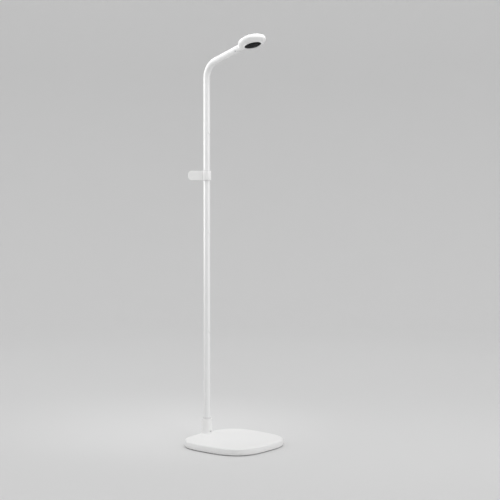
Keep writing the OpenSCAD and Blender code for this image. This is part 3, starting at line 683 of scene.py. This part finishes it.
# %% [markdown]
# The bent tube is the top of the pole. Its end is drawn down to a smaller diameter,
# which plugs into the arm tube and holds the release button. That reduced end is
# hidden, and is a tube of its own here, butted against the step.

# %% The bent tube
lean_all = math.pi / 2 - math.asin(arm_up.y)
tangent = BEND_R * math.tan(lean_all / 2)
ARM_SEAM, PLUG_IN = 75.0, 46.0
PLUG_R, PLUG_BORE = TUBE_R - 1.65, TUBE_R - 3.1
straight_up = CORNER_Z - tangent - SEAMS[2]
bent = tube("bent_top_tube", straight_up + BEND_R * lean_all + ARM_SEAM - tangent, straight=straight_up,
            turn=lean_all, rings=72)
place(bent, on_pole(SEAMS[2]), "stand", ["bent_tube"], white_paint)

button_low, button_high = in_mm("arm_button")
button_mid = (button_low + button_high) / 2 - Vector((0, POLE_Y, CORNER_Z))
BUTTON_S = button_mid.dot(arm_out)
plug = tube("bent_tube_plug", PLUG_IN, radius=PLUG_R, bore=PLUG_BORE)
carve(plug, button_hole(Matrix.Translation((0, 0, BUTTON_S - ARM_SEAM))))
place(plug, on_arm(ARM_SEAM), "stand", ["bent_tube"], white_paint)
print(f"release button at {BUTTON_S:.1f} mm along the arm")

# %% [markdown]
# ## The arm tube and the tilt joint
#
# The arm tube ends in a saddle, a curve cut across it that clears the round ears of
# the head's fork. A flat tongue stands out of it, the ears close on both sides of the
# tongue, and a pin goes through all three, as in a knuckle. These shapes are round
# bars and flat plates cut by each other, so boolean cuts make them. The tongue's edges
# are then broken with a small bevel.

# %% Arm tube
EAR_R, SADDLE_R, TONGUE_R, SLOT_R, TONGUE_W, PIN_R, HORN = 11, 11.4, 10.05, 11.45, 8.4, 2.5, 5.5
SCREW_S, SCREW_TURN, SCREW_WAY_R = PIVOT_S - 13.5, math.radians(40 - 90), 2.6
TONGUE_IN, PIN_GAP = 36, 0.05


def across(r, s, half=40):
    return rod(r, -half, half, 96, Matrix.Translation((0, 0, s)) @ ACROSS)


arm_piece = tube("arm_tube_shell", PIVOT_S - HORN - ARM_SEAM, rings=10)
flank = Matrix.Translation((0, 0, SCREW_S - ARM_SEAM)) @ Matrix.Rotation(SCREW_TURN, 4, "Z") @ TO_FRONT
carve(arm_piece, button_hole(Matrix.Translation((0, 0, BUTTON_S - ARM_SEAM))),
      rod(SCREW_WAY_R, 0, CUT_R, 32, flank), across(SADDLE_R, PIVOT_S - ARM_SEAM))
place(arm_piece, on_arm(ARM_SEAM), "stand", ["arm_tube"], white_paint)


# %% Tongue
def stadium(r, back, front, steps=40):
    """An outline with a half circle about the origin at one end, drawn in (y, z)."""
    arc = [(r * math.cos(a), r * math.sin(a)) for a in (math.pi * k / steps for k in range(steps + 1))]
    if back < 0:
        return arc + [(-r, back), (r, back)]
    return [(x, -z) for x, z in arc] + [(-r, front), (r, front)]


def plate_across(name, outline_yz, width):
    """A plate as thick as width across the arm, centred on it. The outline is in (y, z)."""
    made = slab(name, outline_yz, -width / 2, width / 2)
    made.data.transform(frame_of(Vector((0, 0, 0)), Vector((0, 1, 0)), Vector((0, 0, 1)), SIDE))
    outward(made)
    return made


tongue = plate_across("arm_tongue_plate", stadium(TONGUE_R, -TONGUE_IN, 0), TONGUE_W)
root = rod(TUBE_R - TUBE_WALL - 0.05, -TONGUE_IN - 1, -HORN - 1, 96)
carve(root, across(SADDLE_R, 0))
carve(tongue, root, how="UNION")
carve(tongue, across(PIN_R + PIN_GAP, 0))
soften(tongue, 0.35, 2)
place(tongue, on_arm(PIVOT_S), "stand", ["arm_tongue"], white_paint, sharp=BEVELLED)


# %% [markdown]
# ## The head
#
# The head is a pebble: an upper and a lower shell that meet in a fine groove. Both
# profiles are quarters of a superellipse, which is flatter on top and tighter at the
# rim than a circle. They are turned shapes with a round opening for the fork's spigot.

# %% Head profiles
CROWN_H, BELLY_H, HEAD_WALL, PARTING, GAP = 15, 17, 2, 1, 0.15
CROWN_POWER, BELLY_POWER = 2.2, 2.8
LIP_R = HEAD_R - 0.5                 # where the shells touch, inside the groove
SPIGOT_R, HEAD_AROUND = 8, 160
WINDOW_R, TRIM_W, WINDOW_H, RECESS = 31.5, 4.5, 2, 3
TRIM_R = WINDOW_R + TRIM_W
TRIM_FACE = PARTING - BELLY_H - 0.8
WINDOW_FACE = TRIM_FACE + RECESS
WINDOW_BACK = WINDOW_FACE + WINDOW_H
LEDGE = WINDOW_BACK + 0.9
LEDGE_TOP = LEDGE + 1.6


def quarter(r, h, power, steps=44):
    """A quarter of a superellipse from (r, 0) to (0, h)."""
    return [(r * math.cos(a) ** (2 / power), h * math.sin(a) ** (2 / power))
            for a in (math.pi / 2 * k / steps for k in range(steps + 1))]


def belly_z(r):
    """Height of the lower shell's outside at a distance from the head's axis."""
    return PARTING - BELLY_H * (1 - (r / HEAD_R) ** BELLY_POWER) ** (1 / BELLY_POWER)


# %% Crown
def fork_way(gap):
    return rod(SPIGOT_R + gap, 0, HEAD_R + 10, 72, Matrix.Rotation(-math.pi / 2, 4, "X"))


outer = [(r, PARTING + GAP + z) for r, z in quarter(HEAD_R, CROWN_H, CROWN_POWER)]
inner = [(r, PARTING + z) for r, z in quarter(HEAD_R - HEAD_WALL, CROWN_H - HEAD_WALL, CROWN_POWER)]
outer[-1], inner[-1] = (0, outer[-1][1]), (0, inner[-1][1])
crown = turned("head_crown_shell", [(LIP_R, PARTING)] + outer + inner[::-1], HEAD_AROUND)
carve(crown, fork_way(0.05))
place(crown, on_head, "head", ["head_crown"], cover_plastic)

# %% Lower shell, with the ledge that the window sits on
outer = [(r, PARTING - GAP - z) for r, z in quarter(HEAD_R, BELLY_H, BELLY_POWER) if r > TRIM_R + 1]
inner = [(r, PARTING - z) for r, z in quarter(HEAD_R - HEAD_WALL, BELLY_H - HEAD_WALL, BELLY_POWER)
         if r > TRIM_R + 1.6]
foot = belly_z(TRIM_R)
ledge = [(TRIM_R + 0.35, foot - GAP + 0.03), (TRIM_R + 0.15, foot), (TRIM_R + 0.15, LEDGE),
         (WINDOW_R - 0.5, LEDGE), (WINDOW_R - 0.5, LEDGE_TOP), (TRIM_R + 1.5, LEDGE_TOP)]
belly = turned("head_belly_shell", [(LIP_R, PARTING)] + outer + ledge + inner[::-1], HEAD_AROUND)
carve(belly, fork_way(0.05))
POST_R, POST_RING = 3.2, HEAD_R - 12.5
for turn in (30, 150, 270):
    spot = Matrix.Rotation(math.radians(turn), 4, "Z") @ Matrix.Translation((POST_RING, 0, 0))
    carve(belly, rod(POST_R, belly_z(POST_RING + POST_R) + 0.15, 0.5, 32, spot), how="UNION")
place(belly, on_head, "head", ["head_belly"], cover_plastic)

# %% [markdown]
# A raised ring trims the window. It stands a little below the shell so that it catches
# a bright line of light, and it holds the smoked plate against the gasket. The plate is
# set back 3 mm inside it.

# %% Trim ring and window
SEAT_R, PLATE_R = WINDOW_R + 2.1, WINDOW_R + 2
trim_outline = rounded([(WINDOW_R, TRIM_FACE), (TRIM_R, TRIM_FACE), (TRIM_R, LEDGE), (SEAT_R, LEDGE),
                        (SEAT_R, WINDOW_FACE), (WINDOW_R, WINDOW_FACE)],
                       [0.4, 1.1, 0.2, 0.1, 0.1, 0.1], 5)
trim = turned("window_trim_ring", trim_outline, HEAD_AROUND)
place(trim, on_head, "head", ["window_trim"], cover_plastic)

window_outline = rounded([(0, WINDOW_FACE), (PLATE_R, WINDOW_FACE), (PLATE_R, WINDOW_BACK),
                          (0, WINDOW_BACK)], [0, 0.25, 0.25, 0], 3)
window = turned("smoked_window_plate", window_outline, 128)
place(window, on_head, "head", ["window"], smoked_window)

# %% [markdown]
# Behind the window the lens sits in its barrel, with the small square emitters in a
# ring round it. The emitters repeat about an axis, so Geometry Nodes set them out: a
# circle of points, and on each a square body with a round dome.

# %% Barrel and lens
front = WINDOW_BACK + 0.8
BARREL_R, BARREL_RI, BARREL_STOP_R, LENS_R = 8.5, 6.0, 5, 5.9
barrel_outline = rounded([(BARREL_RI, front), (BARREL_R, front), (BARREL_R, -2), (BARREL_STOP_R, -2),
                          (BARREL_STOP_R, front + 4), (BARREL_RI, front + 3)],
                         [0.3, 0.7, 0.2, 0.2, 0.2, 0.2], 4)
barrel = turned("lens_barrel_ring", barrel_outline, 96)
place(barrel, on_head, "head", ["lens_barrel"], aluminium)
dome = [(LENS_R * math.sin(a), front + 0.4 + 1.6 * (1 - math.cos(a)))
        for a in (TURN / 4 * k / 12 for k in range(12))]
lens = turned("lens_glass_dome",
              dome + [(LENS_R, front + 2.9), (BARREL_STOP_R, front + 3.6), (0, front + 3.6)], 96)
place(lens, on_head, "head", ["lens"], lens_glass)


# %% Emitters
def emitter_ring(start, given):
    ring = start.node("GeometryNodeMeshCircle", {}, {"Vertices": given["Count"], "Radius": given["Ring"]})
    body = start.node("GeometryNodeMeshCube", {}, {"Size": start.node("ShaderNodeCombineXYZ", {}, {
        "X": given["Size"], "Y": given["Size"], "Z": given["Height"] * 0.62})})
    bulge = start.node("GeometryNodeMeshUVSphere", {},
                       {"Segments": 20, "Rings": 10, "Radius": given["Size"] * 0.36})
    down = start.node("ShaderNodeCombineXYZ", {}, {"Z": given["Height"] * -0.31})
    flat = start.node("GeometryNodeTransform", {},
                      {"Geometry": bulge, "Scale": (1, 1, 0.55), "Translation": down})
    chip = start.node("GeometryNodeJoinGeometry")
    for part in (body, flat):
        start.tree.links.new(part.socket, chip.socket.node.inputs[0])
    facing = start.node("FunctionNodeAlignEulerToVector", {"axis": "X"}, {
        "Vector": start.node("GeometryNodeInputPosition")})
    return start.node("GeometryNodeInstanceOnPoints", {},
                      {"Points": ring, "Instance": chip, "Rotation": facing})


EMITTER_RING, BOARD_Z = (HEAD_R - 17) / 2, -9
emitters = grow("emitter_chips", {"Count": 8, "Ring": EMITTER_RING, "Size": 3.6, "Height": 1.4},
                emitter_ring, emitter)
place(emitters, on_head @ Matrix.Translation((0, 0, BOARD_Z - 0.45)), "head", ["emitters"], emitter)

# %% [markdown]
# ## The head's fork
#
# The fork is the stub that joins the disc to the arm: a round bar about as thick as the
# tubes, flattened to a half-round end, slotted for the tongue and drilled for the pin.
# Its other end is cut to the curve of the head, with a spigot that goes inside.

# %% Fork
CLEAR, WASHER = 0.25, 0.8            # round the shells, and on each side of the tongue
fork = rod(TUBE_R - 0.1, -EAR_R, 36, 128)
fork.name = "head_fork_stub"
profile = plate_across("cutter", stadium(EAR_R, 0, 60, 64), 2 * TUBE_R + 2)
carve(fork, profile, how="INTERSECT")
to_head = Matrix.Translation((0, 0, HEAD_S - PIVOT_S)) @ Matrix.Rotation(-math.pi / 2, 4, "X")
bulk = [(0, PARTING - BELLY_H - CLEAR)]
bulk += [(r, PARTING - z) for r, z in quarter(HEAD_R + CLEAR, BELLY_H + CLEAR, BELLY_POWER)][::-1][1:]
bulk += [(r, PARTING + z) for r, z in quarter(HEAD_R + CLEAR, CROWN_H + CLEAR, CROWN_POWER)][1:-1]
bulk += [(0, PARTING + CROWN_H + CLEAR)]
head_bulk = turned("cutter", bulk, 128)
head_bulk.data.transform(to_head)
outward(head_bulk)
slot_half = TONGUE_W / 2 + WASHER
slot_cut = rod(SLOT_R, -slot_half, slot_half, 96, ACROSS)
carve(fork, head_bulk, slot_cut, across(PIN_R, 0))
spigot = rod(SPIGOT_R, 6.5, 27.5, 72)
carve(fork, spigot, how="UNION")
place(fork, on_arm(PIVOT_S), "head", ["head_fork"], cover_plastic, sharp=BEVELLED)

# %% Tilt pin
pin_half = (in_mm("tilt_pin")[1].x - in_mm("tilt_pin")[0].x) / 2
pin_outline = [(0, -pin_half), (PIN_R, -pin_half), (PIN_R, pin_half), (0, pin_half)]
pin_piece = turned("tilt_pin_bar", rounded(pin_outline, [0, 0.6, 0.6, 0], 4), 48)
place(pin_piece, on_arm(PIVOT_S) @ ACROSS, "head", ["tilt_pin"], steel)

# %% [markdown]
# ## Snap buttons
#
# A button locks each joint between tubes. It is a small turned plug with a domed top
# and a flange that keeps it in the tube, and a leaf spring behind it pushes it out.
# All four are one shape, so one function makes them.

# %% Buttons
BUTTON_R, PROUD, FLANGE_R = 4.2, 1.8, 5.4
FLANGE_H = 1
FLANGE_U = math.sqrt(PLUG_BORE ** 2 - FLANGE_R ** 2) - FLANGE_H - 0.25


def button(name):
    top = TUBE_R + PROUD
    over_flange = FLANGE_U + FLANGE_H
    shape = [(0, FLANGE_U), (FLANGE_R, FLANGE_U), (FLANGE_R, over_flange), (BUTTON_R, over_flange),
             (BUTTON_R, top - 0.5), (0, top)]
    return turned(name, rounded(shape, [0, 0.2, 0.2, 0.1, 1.3, 0], 6), 64)


for node, body, where in (("lower_button", "low_button", on_pole(SEAMS[0] - BUTTON_DROP)),
                          ("middle_button", "mid_button", on_pole(SEAMS[1] - BUTTON_DROP)),
                          ("upper_button", "top_button", on_pole(SEAMS[2] - BUTTON_DROP)),
                          ("arm_button", "release_button", on_arm(BUTTON_S))):
    place(button(node + "_cap"), where @ TO_FRONT, body, [node], button_plastic)

# %% [markdown]
# ## The clip
#
# The clip is a collar with a flat tab whose tip is rounded off like a guitar pick. It
# turns on a thin bush that slides on the pole. A rivet through the tab sits in a
# shallow dimple. The tab is one plate with softened edges, joined to a turned collar,
# and the bore is cut last so that it is clean all the way through.

# %% Collar and tab
CLIP_H, BUSH_RI, BUSH_R, COLLAR_R = 36, TUBE_R + 0.05, TUBE_R + 1.65, TUBE_R + 3.9
TAB_REACH, TAB_W, TAB_TURN, TIP_R = 71, 5, math.radians(46), CLIP_H * 0.38
RIVET_IN, RIVET_UP, RIVET_R, RIVET_HEAD_R, DIMPLE_R, DIMPLE = 15, 4.3, 1.6, 3.4, 4.8, 0.8
half_h = CLIP_H / 2
collar_outline = [(BUSH_R - 1, -half_h), (COLLAR_R, -half_h), (COLLAR_R, half_h), (BUSH_R - 1, half_h)]
collar = turned("clip_collar_and_tab", rounded(collar_outline, [0.1, 0.9, 0.9, 0.1], 5), 128)
flat = half_h - TIP_R
tip_middle = TAB_REACH - TIP_R
tab_outline = [(BUSH_R - 0.5, -half_h + 0.8), (BUSH_R - 0.5, half_h - 0.8)]
tip_turns = [math.pi / 2 * k / 20 for k in range(21)]
tab_outline += [(tip_middle + TIP_R * math.sin(a), flat + TIP_R * math.cos(a)) for a in tip_turns]
tab_outline += [(tip_middle + TIP_R * math.cos(a), -flat - TIP_R * math.sin(a)) for a in tip_turns]
tab = slab("cutter", tab_outline, -TAB_W / 2, TAB_W / 2)
soften(tab, 0.7, 3)
tab.data.transform(frame_of(Vector((0, 0, 0)), Vector((0, 1, 0)), Vector((0, 0, 1)), SIDE))
carve(collar, tab, how="UNION")
rivet_at = Matrix.Translation((0, TAB_REACH - RIVET_IN, RIVET_UP)) @ ACROSS
dimple_floor = TAB_W / 2 - DIMPLE
TURN_GAP = 0.05
carve(collar, rod(BUSH_R + TURN_GAP, -CLIP_H, CLIP_H, 128), rod(DIMPLE_R, dimple_floor, 10, 64, rivet_at),
      rod(DIMPLE_R, -10, -dimple_floor, 64, rivet_at))
on_clip = on_pole(CLIP_Z) @ Matrix.Rotation(TAB_TURN, 4, "Z")
place(collar, on_clip, "clip", ["clip_collar"], cover_plastic, sharp=BEVELLED)

# %% Rivet and bush
rivet_half = TAB_W / 2 + 0.4
rivet_outline = [(0, -rivet_half), (RIVET_HEAD_R, -rivet_half), (RIVET_HEAD_R, -dimple_floor),
                 (RIVET_R, -dimple_floor), (RIVET_R, dimple_floor), (RIVET_HEAD_R, dimple_floor),
                 (RIVET_HEAD_R, rivet_half), (0, rivet_half)]
rivet = turned("clip_rivet_head", rounded(rivet_outline, [0, 0.6, 0.05, 0.1, 0.1, 0.05, 0.6, 0], 4), 48)
place(rivet, on_clip @ rivet_at, "clip", ["clip_rivet"], button_plastic)
under_lip = half_h + TURN_GAP
lip, LIP_OUT = under_lip + 1, BUSH_R + 1
bush_outline = rounded([(BUSH_RI, -lip), (LIP_OUT, -lip), (LIP_OUT, -under_lip), (BUSH_R, -under_lip),
                        (BUSH_R, under_lip), (LIP_OUT, under_lip), (LIP_OUT, lip), (BUSH_RI, lip)],
                       [0.2, 0.3, 0.1, 0.1, 0.1, 0.1, 0.3, 0.2], 3)
bush = turned("clip_slide_bush", bush_outline, 128)
place(bush, on_pole(CLIP_Z), "clip_slider", ["clip_bush"], liner_plastic)

# %% [markdown]
# ## The cord gland
#
# The gland is a short black sleeve in the back of the base, where the real lamp's cord
# goes in. It has a rounded mouth, so that nothing chafes.

# %% Gland
CORD_R, GLAND_LIP_R, GLAND_SEAT, GLAND_LIP_H, GLAND_L = 2.3, 4.9, 3.55, 1.15, 8.5
lip_end = GLAND_SEAT + GLAND_LIP_H
gland_outline = rounded([(CORD_R, 0), (GLAND_R, 0), (GLAND_R, GLAND_SEAT), (GLAND_LIP_R, GLAND_SEAT),
                         (GLAND_LIP_R, lip_end), (GLAND_R, lip_end), (GLAND_R, GLAND_L), (CORD_R, GLAND_L)],
                        [0.7, 0.4, 0.1, 0.2, 0.2, 0.1, 0.3, 0.3], 4)
gland = turned("cord_gland_sleeve", gland_outline, 64)
place(gland, gland_at, "stand", ["cord_gland"], black_plastic)

# %% [markdown]
# ## What the CAD model already shapes well
#
# Screws, springs, washers, boards and plates inside the lamp are simple machined or
# stamped parts, and their CAD meshes are right. Each only gets the finish of its
# material slot.

# %% Finishes for the remaining nodes
slot_of = {part["node"]: part["material_slot"] for part in frame["record"]["subparts"]}
for node, piece in frame["nodes"].items():
    piece.data.materials.clear()
    piece.data.materials.append(finishes[slot_of[node]])
print("kept from CAD:", ", ".join(sorted(n for n, o in frame["nodes"].items() if not o.hide_render)))

# %% [markdown]
# ## The studio
#
# The lamp stands on a pale seamless sweep: a flat floor that curves up into a wall all
# the way round, so that no edge shows from any side. A tall soft box on the camera's
# left draws the bright line down the pole, a large one overhead lights the base and
# the dome of the head, and a weaker one on the right keeps that side from going grey.
# A small one close above the head brightens its crown.

# %% Sweep
FLOOR_R, COVE_R, WALL_TOP, AROUND_FLOOR = 4.2, 2.4, 3.4, 96
sweep = [(0.0, 0.0), (0.5, 0.0), (1.5, 0.0), (3.0, 0.0), (FLOOR_R, 0.0)]
sweep += [(FLOOR_R + COVE_R * math.sin(a), COVE_R * (1 - math.cos(a))) for a in
          (math.pi / 2 * k / 24 for k in range(1, 25))]
sweep += [(FLOOR_R + COVE_R, WALL_TOP)]
sweep_points, sweep_faces = [(0, 0, 0)], []
for r, z in sweep[1:]:
    sweep_points += [(r * math.cos(a), r * math.sin(a), z)
                     for a in (TURN * k / AROUND_FLOOR for k in range(AROUND_FLOOR))]
for k in range(AROUND_FLOOR):
    n = (k + 1) % AROUND_FLOOR
    sweep_faces.append([0, 1 + k, 1 + n])
    for ring in range(len(sweep) - 2):
        a, b = 1 + ring * AROUND_FLOOR, 1 + (ring + 1) * AROUND_FLOOR
        sweep_faces.append([a + k, b + k, b + n, a + n])
floor_mesh = bpy.data.meshes.new("studio_sweep")
floor_mesh.from_pydata(sweep_points, [], sweep_faces)
floor_mesh.polygons.foreach_set("use_smooth", [True] * len(floor_mesh.polygons))
floor = bpy.data.objects.new("studio_sweep", floor_mesh)
bpy.context.scene.collection.objects.link(floor)
floor_mesh.materials.append(finish("studio_paper", (0.73, 0.73, 0.73), 0.9, grain=60, depth=0.00002,
                                   mottle=0.01, cloud=1, Specular_IOR_Level=0.1))


# %% Lights
def soft_box(name, at, aim, size, power, spread):
    light = bpy.data.lights.new(name, "AREA")
    light.shape, light.size, light.size_y, light.energy = "RECTANGLE", size[0], size[1], power
    light.spread = math.radians(spread)
    lamp = bpy.data.objects.new(name, light)
    lamp.location = at
    lamp.rotation_euler = (Vector(aim) - Vector(at)).to_track_quat("-Z", "Y").to_euler()
    lamp.visible_camera = False
    bpy.context.scene.collection.objects.link(lamp)


look = BEARING + TURN_ASIDE
ahead = Vector((-math.sin(look), math.cos(look), 0))
right = Vector((math.cos(look), math.sin(look), 0))
middle = Vector((0, 0.1, 0.8))
high = Vector((0, 0, 0.65))
soft_box("left_box", middle - right * 1.9 + ahead * 0.2 + high, middle + high, (0.8, 1.7), 4, 60)
soft_box("right_box", middle + right * 2.3 - ahead * 0.5, middle, (1.2, 2.0), 2.3, 70)
soft_box("top_box", middle + Vector((0, 0, 2.1)) - ahead * 0.3, middle, (1.8, 1.8), 2, 180)
over_head = on_head.translation * MM
soft_box("head_box", over_head + Vector((0, 0, 0.5)) + right * 0.12 - ahead * 0.15, over_head,
         (0.3, 0.3), 0.3, 40)

world = bpy.data.worlds.new("studio_air")
world.use_nodes = True
world.node_tree.nodes["Background"].inputs["Color"].default_value = (1, 1, 1, 1)
world.node_tree.nodes["Background"].inputs["Strength"].default_value = 0.91
bpy.context.scene.world = world
bpy.context.scene.view_settings.view_transform = "Standard"
